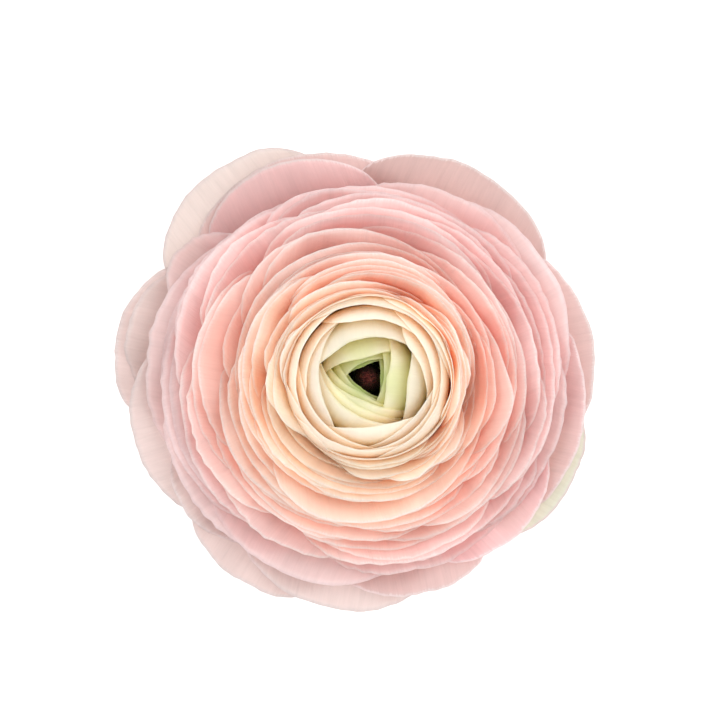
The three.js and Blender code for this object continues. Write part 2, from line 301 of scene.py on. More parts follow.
# The shape of a petal
UP_POWER = 0.8  # rows of points lie closer towards the rim
SIDE_HEIGHT = 0.45  # height of its sides, as a share of the middle's
CORNER_POWER = 9  # the higher, the squarer its upper corners
RIPPLE = 0.4  # height of the finer waves in its rim, as a share of the longer ones
THIN_ROOT = 0.35  # thickness at its root, as a share of the blade's
THIN_RIM = 0.4  # and at its rim


def ease(x, low, high):
    t = np.clip((x - low) / (high - low), 0, 1)
    return t * t * (3 - 2 * t)


def profile(shell, azimuth):
    """Radii and heights of the control points of shells' profiles: cubic curves from their seats up."""
    share = np.interp(shell, SEATS[:, 0], SEATS[:, 1])
    seat_r = RECEPTACLE_TOP[0] + (RECEPTACLE_FOOT[0] - RECEPTACLE_TOP[0]) * share
    seat_z = RECEPTACLE_TOP[1] + (RECEPTACLE_FOOT[1] - RECEPTACLE_TOP[1]) * share
    rim_r, rim_z, tilt = (np.interp(shell, SHELLS[:, 0], SHELLS[:, i]) for i in (1, 2, 3))
    leaning = ease(shell, *LEAN_FROM) * (1 - ease(shell, *LEAN_UNTIL)) * np.cos(np.radians(azimuth - LEAN_TO))
    tilt = np.radians(tilt - LEAN * leaning)
    rim_z = rim_z - LEAN_DOWN * leaning
    rise = rim_z - seat_z
    span = np.hypot(rim_r - seat_r, rise)
    # With both inner points at this radius, a closed shell comes out to its reach half way up
    bulge = (8 * shell - seat_r - rim_r) / 6
    flare = FLARE[0] + FLARE[1] * (1 - ease(shell, *FLARE_FADE))
    lift = LIFT[0] + LIFT[1] * (1 - ease(shell, *LIFT_FADE))
    opened = ease(shell, *OPENING)
    low_r = bulge + (seat_r + flare * span - bulge) * opened
    low_z = seat_z + (OVER * rise) * (1 - opened) + lift * span * opened
    high_r = bulge + (rim_r - HANDLE * span * np.cos(tilt) - bulge) * opened
    high_z = (rim_z + OVER * rise) * (1 - opened) + (rim_z - HANDLE * span * np.sin(tilt)) * opened
    return (seat_r, low_r, high_r, rim_r), (seat_z, low_z, high_z, rim_z)


def on_shell(shell, height, azimuth):
    """Radius and height of the points at a share of the way up the given shells."""
    weights = ((1 - height) ** 3, 3 * (1 - height) ** 2 * height, 3 * (1 - height) * height**2, height**3)
    radii, heights = profile(shell, azimuth)
    return sum(w * r for w, r in zip(weights, radii)), sum(w * z for w, z in zip(weights, heights))


def margin_on(shell, azimuth, rim):
    """How high up its shell a petal ends at each azimuth, where the shell comes to the petal's rim radius.

    A closed shell narrows over its upper part, and an outer one widens all the way. The upright shells
    between them have no one such place, so a petal there ends lower by how far its shell was moved outwards.
    """
    heights = np.linspace(MARGIN_FROM, 1, MARGIN_STEPS)[:, None]
    radii = on_shell(shell[None, :], heights, azimuth[None, :])[0]
    near_rim, upper = -20, 30
    closing = radii[-1] < radii[near_rim]
    lowered = 1 - MARGIN_DROP * np.maximum(shell - reach_of(rim), 0)
    ended = np.empty_like(shell)
    for i in range(len(shell)):
        if closing[i]:
            ended[i] = np.interp(-rim[i], -radii[upper:, i], heights[upper:, 0])
        elif shell[i] > WIDENING:
            ended[i] = np.interp(rim[i], radii[:, i], heights[:, 0])
        else:
            ended[i] = lowered[i]
    return np.maximum(ended, MARGIN_LOWEST)


def reach_of(rim):
    """The reach of the shell that has its own rim at the given radius."""
    return np.interp(rim, SHELLS[:, 1], SHELLS[:, 0])


class Stack:
    """Keeps nested petals apart: how far out the shells are taken, all round the axis."""

    def __init__(self):
        self.front = np.zeros(BINS)
        self.rims = np.zeros(BINS)

    def covers(self, azimuth, radius):
        """Whether the rims so far reach further out than a radius at an azimuth."""
        return radius < self.rims[int(azimuth * BINS / 360) % BINS]

    def cover(self, azimuth, rim):
        """Notes how far out a petal's rim reaches."""
        bins = np.arange(int(azimuth[0] * BINS / 360), int(azimuth[-1] * BINS / 360) + 1)
        radius = np.interp(bins * 360 / BINS, azimuth, rim)
        self.rims[bins % BINS] = np.maximum(self.rims[bins % BINS], radius)

    def place(self, azimuth, shell, apart):
        """Moves a petal's shell outwards, smoothly, where it would come too near what is there already."""
        bins = np.arange(int(azimuth[0] * BINS / 360), int(azimuth[-1] * BINS / 360) + 1)
        at = bins * 360 / BINS
        wanted = np.interp(at, azimuth, shell)
        lift = np.maximum(self.front[bins % BINS] + apart - wanted, 0)
        wide = np.array([lift[max(0, i - SPREAD): i + SPREAD + 1].max() for i in range(len(lift))])
        padded = np.pad(wide, SPREAD, mode="edge")
        lift = np.convolve(padded, np.ones(2 * SPREAD + 1) / (2 * SPREAD + 1), mode="valid")
        placed = wanted + lift
        self.front[bins % BINS] = np.maximum(self.front[bins % BINS], placed)
        return np.interp(azimuth, at, placed)


def waves(rng, at, count, lowest):
    """A smooth random line along at (-1 to 1), about -1 to 1 high."""
    line = np.zeros_like(at)
    for i in range(count):
        turns = lowest + i * 1.3 + rng.uniform(-0.3, 0.3)
        line += rng.uniform(0.4, 1) / (1 + i) * np.sin(math.pi * turns * at + rng.uniform(0, 2 * math.pi))
    return line / 1.6


class Sheets:
    """Collects thin closed sheets into one mesh, with maps for the materials."""

    def __init__(self):
        self.points, self.faces, self.maps = [], [], {"grain": [], "place": [], "lot": []}
        self.count = 0

    def add(self, middle, thickness, maps):
        """A sheet round a grid of points (rows, columns, 3), and its maps' values at the same points."""
        rows, columns = middle.shape[:2]
        along = np.gradient(middle, axis=0)
        across = np.gradient(middle, axis=1)
        normal = np.cross(across, along)
        normal /= np.maximum(np.linalg.norm(normal, axis=2, keepdims=True), 1e-9)
        half = normal * thickness[..., None] / 2
        size = rows * columns
        self.points.append(np.concatenate([(middle + half).reshape(-1, 3), (middle - half).reshape(-1, 3)]))
        index = np.arange(size).reshape(rows, columns) + self.count
        a, b, c, d = (g.ravel() for g in (index[:-1, :-1], index[:-1, 1:], index[1:, 1:], index[1:, :-1]))
        edge = np.concatenate([index[0, :-1], index[:-1, -1], index[-1, :0:-1], index[:0:-1, 0]])
        following = np.roll(edge, -1)
        self.faces.append(np.stack([a, b, c, d], 1))
        self.faces.append(np.stack([d, c, b, a], 1) + size)
        self.faces.append(np.stack([following, edge, edge + size, following + size], 1))
        for name, values in maps.items():
            flat = values.reshape(-1, 2)
            self.maps[name].append(np.concatenate([flat, flat]))
        self.count += 2 * size

    def tube(self, rings, place, lot=0.0):
        """A closed skin through rings of points (rings, sides, 3); place is a value for each ring."""
        count, sides = rings.shape[:2]
        ends = np.stack([rings[0].mean(0), rings[-1].mean(0)])
        self.points.append(np.concatenate([rings.reshape(-1, 3), ends]))
        index = np.arange(count * sides).reshape(count, sides) + self.count
        following = np.roll(index, -1, axis=1)
        low = self.count + count * sides
        sides_of = np.stack([index[:-1], following[:-1], following[1:], index[1:]], 2)
        self.faces.append(sides_of.reshape(-1, 4))
        self.faces.append(np.stack([following[0], index[0], np.full(sides, low)], 1))
        self.faces.append(np.stack([index[-1], following[-1], np.full(sides, low + 1)], 1))
        along = np.concatenate([np.repeat(place, sides), [place[0], place[-1]]])
        for name, pair in {"grain": (0, 0), "place": (along, 0), "lot": (lot, 0)}.items():
            self.maps[name].append(np.stack([pair[0] + 0 * along, pair[1] + 0 * along], 1))
        self.count += count * sides + 2

    def piece(self, name, node, material):
        mesh = bpy.data.meshes.new(name)
        points = np.concatenate(self.points) * MM
        corners = np.concatenate([faces.ravel() for faces in self.faces]).astype(np.int32)
        sizes = np.concatenate([np.full(len(faces), faces.shape[1]) for faces in self.faces])
        starts = np.concatenate([[0], np.cumsum(sizes)[:-1]]).astype(np.int32)
        mesh.vertices.add(len(points))
        mesh.vertices.foreach_set("co", points.astype(np.float32).ravel())
        mesh.loops.add(len(corners))
        mesh.loops.foreach_set("vertex_index", corners)
        mesh.polygons.add(len(starts))
        mesh.polygons.foreach_set("loop_start", starts)
        mesh.update(calc_edges=True)
        for key, values in self.maps.items():
            layer = mesh.uv_layers.new(name=key)
            layer.uv.foreach_set("vector", np.concatenate(values)[corners].astype(np.float32).ravel())
        mesh.validate()
        mesh.shade_smooth()
        piece = bpy.data.objects.new(name, mesh)
        bpy.context.scene.collection.objects.link(piece)
        mesh.materials.append(material)
        settle(piece, node)


def settle(piece, node):
    """Says what a piece moves with, and hides the part of the model that it stands for."""
    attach(piece, "root")
    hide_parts(node)


class Rim:
    """The rim of a petal: where it is seen from above, and how it goes on under the petals before it."""

    LONGEST = 44  # degrees that a rim may go on out of sight
    UNDER = 5  # degrees that it goes on after it is covered
    WRAPPED = 24  # degrees that a petal of the closed heart goes on under the next
    # Change of its radius out of sight, in rim units a degree
    WIDENS = 0.2  # on the closed heart, at least
    NARROWS = -0.12  # elsewhere, at most
    BENDS = -0.014  # and as much more with each degree

    def __init__(self, row, stack, closed, wider):
        first, self.first_r, self.middle, self.middle_r, last, self.last_r = row
        self.first = self.middle + (first - self.middle) * wider
        self.last = self.middle + (last - self.middle) * wider
        self.closed = closed
        self.slopes = (-self.slope(self.first), self.slope(self.last))
        self.start = self.first - self.hidden(stack, self.first, self.first_r, self.slopes[0], -1)
        self.end = self.last + self.hidden(stack, self.last, self.last_r, self.slopes[1], 1)

    def seen(self, azimuth):
        a, b, c = self.first, self.middle, self.last
        return (
            self.first_r * (azimuth - b) * (azimuth - c) / ((a - b) * (a - c))
            + self.middle_r * (azimuth - a) * (azimuth - c) / ((b - a) * (b - c))
            + self.last_r * (azimuth - a) * (azimuth - b) / ((c - a) * (c - b))
        )

    def slope(self, azimuth):
        return self.seen(azimuth + 0.5) - self.seen(azimuth - 0.5)

    def fall(self, slope, beyond):
        """How a rim's radius changes out of sight. It goes down the bloom's side, outwards on the heart."""
        if self.closed:
            return np.maximum(slope, self.WIDENS) * beyond
        return np.minimum(slope, self.NARROWS) * beyond + self.BENDS * beyond**2

    def hidden(self, stack, azimuth, radius, slope, side):
        if self.closed:
            return self.WRAPPED
        for beyond in range(self.LONGEST):
            if stack.covers(azimuth + side * beyond, RIM_UNIT * (radius + self.fall(slope, beyond) + 1)):
                return beyond + self.UNDER
        return self.LONGEST

    def at(self, azimuth):
        inside = np.clip(azimuth, self.first, self.last)
        radius = self.seen(inside)
        radius += self.fall(self.slopes[0], np.maximum(self.first - azimuth, 0))
        radius += self.fall(self.slopes[1], np.maximum(azimuth - self.last, 0))
        return RIM_UNIT * radius


def petal(sheets, stack, rng, row, whorl, number, short=1.0):
    """One petal by its row; short is its height as a share of a full petal's."""
    lead = row[0] if len(row) > RIM_ROW else None
    row = row[-RIM_ROW:]
    own_shell = lead if whorl["first"] == "shell" else None
    lot = lead if whorl["first"] == "tint" else rng.uniform(0, 1)
    columns, rows = whorl["grid"] if short == 1 else SHORT_GRID
    lip = 0.0 if own_shell else whorl["lip"]
    line = Rim(row, stack, own_shell is not None, whorl["wider"] if short == 1 else 1.0)
    half_span = (line.end - line.start) / 2
    across = np.sin(np.linspace(-1, 1, columns + 1) * math.pi / 2)
    azimuth = (line.start + line.end) / 2 + half_span * across
    up = np.linspace(0, 1, rows + 1) ** UP_POWER
    wave = whorl["wave"] * waves(rng, across, 3, 1.1)
    rim = line.at(azimuth)
    if short == 1:
        stack.cover(azimuth, rim)
    rim = rim - lip
    wanted = (reach_of(rim) if own_shell is None else own_shell) + wave
    shell = stack.place(azimuth, wanted, whorl["apart"])
    ragged = whorl["ragged"] * (waves(rng, across, 4, 3.0) + 0.8 * waves(rng, across, 4, 13.0))
    rounded = np.maximum(1 - np.abs(across) ** CORNER_POWER, 0) ** 0.5
    outline = SIDE_HEIGHT + (1 - SIDE_HEIGHT) * rounded
    margin = margin_on(shell, azimuth, rim + wave) * outline * (1 + ragged) * short
    root = whorl["root"]
    height = root + (margin[None, :] - root) * up[:, None]
    ripple = whorl["wave"] * waves(rng, across, 3, 4.0)[None, :] * up[:, None] ** 6 * RIPPLE
    shells = shell[None, :] + ripple + lip * ease(up, 0.8, 1.0)[:, None] ** 2
    radius, level = on_shell(shells, height, azimuth[None, :])
    turn = np.radians(azimuth)[None, :]
    middle = np.stack([radius * np.cos(turn), radius * np.sin(turn), level], 2)
    thin_root = THIN_ROOT + (1 - THIN_ROOT) * ease(height, 0.1, 0.5)
    thin_rim = 1 - (1 - THIN_RIM) * ease(up, 0.9, 1.0)[:, None]
    thickness = whorl["blade"] * thin_root * thin_rim
    step = np.linalg.norm(np.diff(middle, axis=0, prepend=middle[:1]), axis=2)
    distance = np.cumsum(step, axis=0)
    arc = np.radians(half_span) * across[None, :] * radius
    tone = rim / LAST_REACH
    # Painted light: petals on one side of the bloom take paler colours, as if more lit there
    if whorl["first"] is None:
        tone = tone - PAINTED_LIGHT_SHARE * (1 - ease(rim, *PAINTED_LIGHT_UNTIL)) * np.cos(np.radians(azimuth - PAINTED_LIT_SIDE))
    maps = {
        "grain": np.stack([arc * GRAIN + GRAIN_STEP * number, distance * GRAIN], 2),
        "place": np.stack([tone[None, :] + 0 * shells, up[:, None] + 0 * shells], 2),
        "lot": np.stack([lot + 0 * shells, height], 2),
    }
    sheets.add(middle, thickness, maps)


def short_petals(sheets, stack, rng, row, whorl):
    """Short petals in the room that is left in front of the next one."""
    line = Rim(row, stack, False, whorl["wider"])
    azimuth = np.linspace(line.first, line.last, 41)
    front = stack.front[(azimuth * BINS / 360).astype(int) % BINS]
    wanted = reach_of(line.at(azimuth))
    room = float(np.median(wanted - front))
    count = int(room / whorl["fill"])
    for i in range(count):
        share = (i + 1) / (count + 1)
        shift = rng.uniform(-SHORT_SHIFT, SHORT_SHIFT)
        places = (line.first + shift, line.middle + shift, line.last + shift)
        shell = float(np.median(front)) + room * share
        if shell < CLOSED:
            radius = CURLED_RIM * shell / RIM_UNIT
            radii = (radius + 1, radius, radius + 1)
            lead = (shell,)
        else:
            back = room * (1 - share) / RIM_UNIT
            radii = (line.first_r - back, line.middle_r - back, line.last_r - back)
            lead = ()
        filler = lead + tuple(value for pair in zip(places, radii) for value in pair)
        petal(sheets, stack, rng, filler, whorl, SHORT_NUMBER + i, rng.uniform(*whorl["low"]))


def petals(key, material, stack, rng):
    """The full petals of a whorl as one piece, and its short ones, if it has any, as another."""
    whorl = WHORLS[key]
    full, short = Sheets(), Sheets()
    for number, row in enumerate(whorl["rows"]):
        if len(row) == RIM_ROW:
            short_petals(short, stack, rng, row, whorl)
        petal(full, stack, rng, row, whorl, number)
    full.piece(f"{key}_petal_blades", f"{key}_petals", material)
    if short.count:
        short.piece(f"{key}_petal_short_blades", f"{key}_petals", material)


def lathe(profile, sides, relief=None):
    """Rings round the axis from (radius, height) points; relief adds to the radius by ring and azimuth."""
    profile = np.array(profile, float)
    turn = np.linspace(0, 2 * math.pi, sides, endpoint=False)
    radius = profile[:, :1] + np.zeros((1, sides))
    if relief is not None:
        radius = radius + relief(profile[:, 1:], turn[None, :]) * (profile[:, :1] > 0.2)
    level = profile[:, 1:] + np.zeros((1, sides))
    return np.stack([radius * np.cos(turn), radius * np.sin(turn), level], 2)


def grown(points, step):
    """The points of a profile with more added between them, no further apart than a step."""
    fine = [points[0]]
    for a, b in zip(points, points[1:]):
        count = max(1, math.ceil(math.dist(a, b) / step))
        fine += [tuple(p + (q - p) * i / count for p, q in zip(a, b)) for i in range(1, count + 1)]
    return fine


def bud(foot, out, rise, widths, length, sides, bend=0.0):
    """Rings of a small round body that starts at foot and points along out, bent towards rise."""
    foot, out, rise = (np.array(v, float) for v in (foot, out, rise))
    out /= np.linalg.norm(out)
    rise = rise - out * (rise @ out)
    rise /= np.linalg.norm(rise)
    side = np.cross(out, rise)
    share = np.linspace(0, 1, len(widths))[:, None, None]
    turn = np.linspace(0, 2 * math.pi, sides, endpoint=False)[None, :, None]
    width = np.array(widths)[:, None, None]
    across = np.cos(turn) * side + np.sin(turn) * rise
    return foot + out * length * share + rise * bend * share**2 + across * width


# The parts in the middle, the calyx and the stem

PISTIL_HEAD = dict(radius=2.75, foot=17.35, height=14.2)
CARPELS = 430
CARPEL_WIDTHS = (0.1, 0.25, 0.3, 0.26, 0.15, 0.07, 0.03)
CARPEL_LENGTH = 0.52
CARPEL_INSET = 0.2  # how deep its foot lies in the head
CARPEL_BEND = 0.16
GOLDEN_ANGLE = 137.5
CORE_INSET = 0.1  # how far the head's core lies inside it


def pistils(material, rng):
    radius, foot, height = (PISTIL_HEAD[key] for key in ("radius", "foot", "height"))

    def swell(up):
        return radius * math.sqrt(max(1 - up**3.2, 0)) * (0.86 + 0.14 * float(ease(up, 0, 0.3)))

    body = Sheets()
    shares = np.linspace(0, 1, 40) ** 0.8
    core = [(max(swell(u) - CORE_INSET, 0.02), foot + (height - 2 * CORE_INSET) * u) for u in shares]
    body.tube(lathe(core, 36), shares * 0.9)
    for i in range(CARPELS):
        up = ((i + 0.5) / CARPELS) ** 0.92
        turn = i * math.radians(GOLDEN_ANGLE)
        slope = (swell(min(up + 0.01, 1)) - swell(max(up - 0.01, 0))) / (0.02 * height)
        direction = (math.cos(turn), math.sin(turn), -min(slope, 0) + 0.25)
        spot = (swell(up) * math.cos(turn), swell(up) * math.sin(turn), foot + height * up)
        inset = np.array(spot) - CARPEL_INSET * np.array(direction) / np.linalg.norm(direction)
        size = rng.uniform(0.85, 1.1)
        widths = [s * size for s in CARPEL_WIDTHS]
        rings = bud(inset, direction, (0, 0, 1.0), widths, CARPEL_LENGTH * size, 7, CARPEL_BEND)
        # Higher carpels are redder and lighter: partly their own redder tips, partly painted light on the
        # head's top and flanks deep in the opening
        reddish_and_painted_light = up**6 * rng.uniform(0.35, 1.15)
        body.tube(rings, reddish_and_painted_light + 0.1 * np.linspace(0, 1, len(widths)), rng.uniform(0, 1))
    body.piece("pistil_head", "pistils", material)


STAMEN_COUNT = 9
STAMEN_RING = 3.95  # how far from the axis they stand
STAMEN_FOOT = 16.1  # and at what height
STAMEN_COLLAR = [
    (3.46, 15.87), (4.1, 15.86), (4.32, 16.0), (4.33, 16.5), (4.15, 16.74), (3.6, 16.74), (3.46, 16.55),
]
FILAMENT_WIDTHS = [0.3, 0.22, 0.17, 0.15, 0.14, 0.13, 0.15]
FILAMENT_LENGTH = (6.6, 1.1)  # on average, and how much longer or shorter some are
ANTHER_WIDTHS = [0.1, 0.24, 0.32, 0.34, 0.33, 0.35, 0.32, 0.24, 0.1]
ANTHER_LENGTH = 2.3
ANTHER_FOOT = (0.42, 0.2, 0.55)  # how far it lies inwards, aside and down from its filament's end


def stamens(material, rng):
    body = Sheets()
    inwards, sideways, down = ANTHER_FOOT
    closed = lathe(grown(STAMEN_COLLAR, 0.3) + STAMEN_COLLAR[:1], 48)
    body.tube(closed, np.zeros(len(closed)))
    for i in range(STAMEN_COUNT):
        turn = math.radians(360 / STAMEN_COUNT * i)
        length = FILAMENT_LENGTH[0] + FILAMENT_LENGTH[1] * math.sin(2.4 * i)
        out = np.array([math.cos(turn), math.sin(turn), 0])
        foot = STAMEN_RING * out + [0, 0, STAMEN_FOOT]
        filament = bud(foot, (0, 0, 1), out, FILAMENT_WIDTHS, length, 8)
        body.tube(filament, np.linspace(0.1, 0.4, len(FILAMENT_WIDTHS)))
        aside = np.array([-math.sin(turn), math.cos(turn), 0])
        for lobe in (-1, 1):
            low = foot - out * inwards + aside * sideways * lobe + [0, 0, length - down]
            anther = bud(low, (0, 0, 1), out, ANTHER_WIDTHS, ANTHER_LENGTH, 12, 0.03)
            body.tube(anther, np.linspace(0.6, 1, len(ANTHER_WIDTHS)), rng.uniform(0, 1))
    body.piece("stamen_ring", "stamens", material)


STEM_PROFILE = [
    (0.02, 0.0), (1.2, 0.0), (2.7, 0.0), (3.7, 0.0), (3.9, 0.2), (3.9, 3.2), (6.3, 4.45), (7.0, 4.9),
    (7.08, 5.3), (4.3, 15.1), (3.1, 15.5), (3.1, 16.7), (2.7, 17.0), (0.02, 17.0),
]
STEM_RIBS = 22
SIDES_PER_RIB = 8
RIB_HEIGHT = 0.07


def stem(material):
    def ribs(level, turn):
        fade = ease(level, 0, 0.5) * (1 - ease(level, 3.0, 4.4))
        return RIB_HEIGHT * np.cos(STEM_RIBS * turn) * fade - 0.02

    body = Sheets()
    profile = grown(STEM_PROFILE, 0.35)
    reach = np.cumsum([0] + [math.dist(a, b) for a, b in zip(profile, profile[1:])])
    body.tube(lathe(profile, STEM_RIBS * SIDES_PER_RIB, ribs), reach / reach[-1])
    body.piece("stem_and_receptacle", "stem", material)


SEPAL = dict(count=5, half_width=4.6, first=18)
SEPAL_FROM, SEPAL_TO = 4.7, 16.6  # radii between which a sepal lies
SEPAL_LINE = [(SEPAL_FROM, 2.8), (8.6, 3.3), (12.6, 2.5), (15.2, 1.3), (SEPAL_TO, 0.22)]
SEPAL_WIDTHS = [
    (SEPAL_FROM, 0.6), (6.5, 0.82), (9.5, 0.98), (12.0, 1.0),
    (14.2, 0.84), (15.6, 0.58), (16.4, 0.28), (SEPAL_TO, 0.1),
]
SEPAL_THICKNESS = 0.36
SEPAL_LOWEST = 0.2  # height of its middle where it lies on the floor
SEPAL_CUP = 0.3  # how far its sides hang below its middle
SEPAL_CURL = 0.12
SEPAL_GRID = (30, 19)  # points along and across a sepal
SEPAL_GRAIN_STEP = 0.3  # in the grain map, from one to the next
HAIRS = 130  # on a sepal
HAIR_WIDTHS = [0.028, 0.02, 0.008]
HAIR_PLACE = 2.0  # past the end of the sepal's colours, so that hairs have the last of them
CALYX_COLLAR = [(4.26, 1.85), (5.0, 2.0), (5.7, 2.3), (5.84, 2.7), (5.8, 3.35), (5.0, 3.2), (4.26, 2.95)]


def smooth_line(points, x):
    """A curve through points, rounded at them."""
    xs, ys = zip(*points)
    steps = np.linspace(-1, 1, 9)
    return np.mean([np.interp(np.clip(x + s, xs[0], xs[-1]), xs, ys) for s in steps], axis=0)


def sepals(material, rng):
    body = Sheets()
    rows, columns = SEPAL_GRID
    for i in range(SEPAL["count"]):
        turn = math.radians(SEPAL["first"] + 360 / SEPAL["count"] * i)
        along = np.linspace(SEPAL_FROM, SEPAL_TO, rows)
        across = np.sin(np.linspace(-1, 1, columns) * math.pi / 2)
        share_wide = np.interp(along, *zip(*SEPAL_WIDTHS))
        width = SEPAL["half_width"] * share_wide
        curl = SEPAL_CURL * waves(rng, np.linspace(-1, 1, rows), 3, 1.0)
        level = smooth_line(SEPAL_LINE, along)[:, None] - SEPAL_CUP * across**2 * share_wide[:, None] + 0.05
        level = level + curl[:, None] * across[None, :] * ease(along, 6, 10)[:, None]
        level = np.maximum(level, SEPAL_LOWEST)
        radial = np.repeat(along[:, None], columns, 1)
        sideways = width[:, None] * across[None, :]
        middle = np.stack([
            radial * math.cos(turn) - sideways * math.sin(turn),
            radial * math.sin(turn) + sideways * math.cos(turn),
            level,
        ], 2)
        thickness = SEPAL_THICKNESS * (1 - 0.6 * np.abs(across[None, :]) ** 3) + 0 * radial
        share = (along - SEPAL_FROM) / (SEPAL_TO - SEPAL_FROM)
        maps = {
            "grain": np.stack([sideways * GRAIN + SEPAL_GRAIN_STEP * i, radial * GRAIN], 2),
            "place": np.stack([share[:, None] + 0 * radial, np.abs(across)[None, :] + 0 * radial], 2),
            "lot": np.stack([rng.uniform(0, 1) + 0 * radial, 0 * radial], 2),
        }
        body.add(middle, thickness, maps)
        for _ in range(HAIRS):
            row = rng.integers(2, rows - 2)
            column = rng.choice([0, columns - 1, 1, columns - 2, rng.integers(2, columns - 2)])
            spot = middle[row, column]
            aside = np.sign(across[column]) * np.array([-math.sin(turn), math.cos(turn), 0])
            direction = aside * rng.uniform(0.2, 1) + [0, 0, rng.uniform(0.3, 1)]
            direction = direction + 0.5 * np.array([math.cos(turn), math.sin(turn), 0]) * rng.uniform(-0.3, 1)
            hair = bud(spot, direction, (0, 0, 1.01), HAIR_WIDTHS, rng.uniform(0.45, 0.8), 4, -0.08)
            body.tube(hair, np.full(len(HAIR_WIDTHS), HAIR_PLACE), rng.uniform(0, 1))
    collar = lathe(grown(CALYX_COLLAR, 0.3) + CALYX_COLLAR[:1], 72)
    body.tube(collar, np.zeros(len(collar)))
    body.piece("calyx_blades", "sepals", material)


# Materials

class Shader:
    """A material's node tree, with short ways to add nodes."""

    def __init__(self, name):
        self.material = bpy.data.materials.new(name)
        self.material.use_nodes = True
        self.tree = self.material.node_tree
        self.tree.nodes.clear()
        self.out = self.tree.nodes.new("ShaderNodeOutputMaterial")

    def node(self, kind, **values):
        made = self.tree.nodes.new(kind)
        for key, value in values.items():
            setattr(made, key, value)
        return made

    def link(self, source, target):
        self.tree.links.new(source, target)

    def put(self, value, socket):
        if isinstance(value, bpy.types.NodeSocket):
            self.link(value, socket)
        else:
            socket.default_value = value

    def math(self, operation, a, b):
        made = self.node("ShaderNodeMath", operation=operation)
        self.put(a, made.inputs[0])
        self.put(b, made.inputs[1])
        return made.outputs[0]

    def ramp(self, factor, stops):
        made = self.node("ShaderNodeValToRGB")
        made.color_ramp.interpolation = "EASE"
        elements = made.color_ramp.elements
        while len(elements) < len(stops):
            elements.new(0.5)
        for element, (place, colour) in zip(elements, stops):
            element.position = place
            element.color = (*colour, 1)
        self.link(factor, made.inputs[0])
        return made.outputs[0]

    def mix(self, factor, a, b, blend="MIX"):
        made = self.node("ShaderNodeMix", data_type="RGBA", blend_type=blend)
        self.put(factor, made.inputs[0])
        self.put(a, made.inputs[6])
        self.put(b, made.inputs[7])
        return made.outputs[2]

    def uv(self, name):
        made = self.node("ShaderNodeUVMap", uv_map=name)
        apart = self.node("ShaderNodeSeparateXYZ")
        self.link(made.outputs[0], apart.inputs[0])
        return made.outputs[0], apart.outputs[0], apart.outputs[1]

    def scaled(self, vector, scale):
        made = self.node("ShaderNodeMapping")
        made.inputs["Scale"].default_value = scale
        self.link(vector, made.inputs["Vector"])
        return made.outputs[0]

    def noise(self, vector, scale, detail, roughness):
        made = self.node("ShaderNodeTexNoise")
        made.inputs["Scale"].default_value = scale
        made.inputs["Detail"].default_value = detail
        made.inputs["Roughness"].default_value = roughness
        self.link(vector, made.inputs["Vector"])
        return made.outputs[0]

    def around(self, pattern, depth):
        """A pattern of 0 to 1 as a change up and down, by half the depth either way."""
        return self.math("MULTIPLY", self.math("SUBTRACT", pattern, 0.5), depth)

    def between(self, value, low, high):
        """0 below a low value and 1 above a high one, with a smooth step between them."""
        made = self.node("ShaderNodeMapRange", interpolation_type="SMOOTHSTEP")
        made.inputs["From Min"].default_value = low
        made.inputs["From Max"].default_value = high
        self.link(value, made.inputs["Value"])
        return made.outputs[0]

    def bump(self, height, distance):
        made = self.node("ShaderNodeBump")
        made.inputs["Distance"].default_value = distance
        made.inputs["Strength"].default_value = 1.0
        self.link(height, made.inputs["Height"])
        return made.outputs[0]


def srgb(red, green, blue):
    """Scene-linear values of a colour given as it shows on a screen, 0 to 255."""
    shares = (c / 255 for c in (red, green, blue))
    return tuple(c / 12.92 if c <= 0.04045 else ((c + 0.055) / 1.055) ** 2.4 for c in shares)


# Patterns on a petal: their scale along it as a share of that across, which draws them out into lines, and
# their scale across, detail and roughness
STREAKS = (0.05, 260, 3.0, 0.6)
# Folds are coarse veins whose lighter and darker lines also stand for the shading of the petal's folds:
# painted shade
FOLDS = (0.08, 70, 2.0, 0.5)
FINE_VEINS = (0.03, 900, 1.0, 0.5)
BLOTCHES = (9, 2.0, 0.5)  # these are as long as wide
BLOTCH_DEPTH = 0.08
LOT_DEPTH = 0.07  # how much petals differ in lightness
# The rim's band is partly its own paler colour and partly a painted highlight of light through the thin edge
RIM_END = 0.995  # share of a petal's height where the rim's colour is full
RIM_UNEVEN = 0.03
ROOT_SPAN = (0.25, 0.85)  # shares of its height between which the root's colour goes over to the body's
PETAL_FINISH = {"Roughness": 0.55, "Specular IOR Level": 0.25, "Sheen Weight": 0.12, "Sheen Roughness": 0.5}


